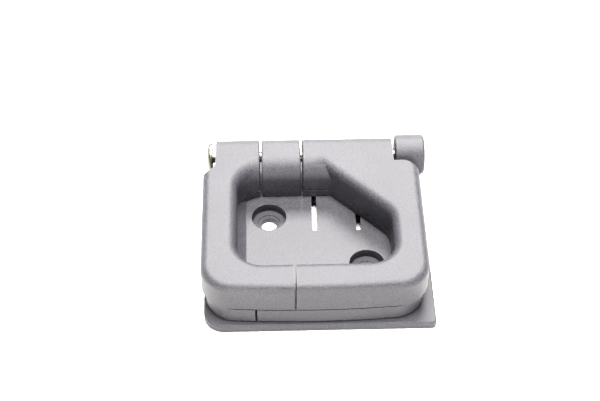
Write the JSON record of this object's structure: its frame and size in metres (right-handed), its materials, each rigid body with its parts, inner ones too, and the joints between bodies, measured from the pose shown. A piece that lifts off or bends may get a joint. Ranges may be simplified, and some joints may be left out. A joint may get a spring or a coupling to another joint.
{
  "type": "stair gate latch",
  "caption": "Screw-on stair gate latch: a moulded base with two C-shaped hinged flaps that close into a ring around the gate's bolt.",
  "frame": {"origin": "on the mounting face, midway between the two screw holes", "axes": "+X along the hinge pin from its domed head, +Y from the front edge to the hinge, +Z out of the mounting face"},
  "size_m": [0.0627, 0.0587, 0.0176],
  "materials": {
    "moulded_plastic": "fine spark-eroded grain, charcoal",
    "plated_steel": "zinc plated, slightly yellow",
    "spring_steel": "oiled spring steel"
  },
  "bodies": {
    "base": {"base_plate": "moulded_plastic", "hinge_pin": "plated_steel", "pin_retaining_washer": "spring_steel"},
    "right_flap": {"right_flap_top_shell": "moulded_plastic", "right_flap_bottom_shell": "moulded_plastic", "right_flap_screw_1": "plated_steel", "right_flap_screw_2": "plated_steel", "right_flap_screw_3": "plated_steel"},
    "left_flap": {"left_flap_top_shell": "moulded_plastic", "left_flap_bottom_shell": "moulded_plastic", "left_flap_screw_1": "plated_steel", "left_flap_screw_2": "plated_steel"}
  },
  "joints": [
    {"name": "right_flap_hinge", "type": "hinge", "parent": "base", "child": "right_flap", "pos_m": [0, 0.02545, 0.0119], "axis": [-1, 0, 0], "range_deg": [0, 90]},
    {"name": "left_flap_hinge", "type": "hinge", "parent": "right_flap", "child": "left_flap", "pos_m": [0, 0.02545, 0.0119], "axis": [-1, 0, 0], "range_deg": [0, 90]}
  ]
}
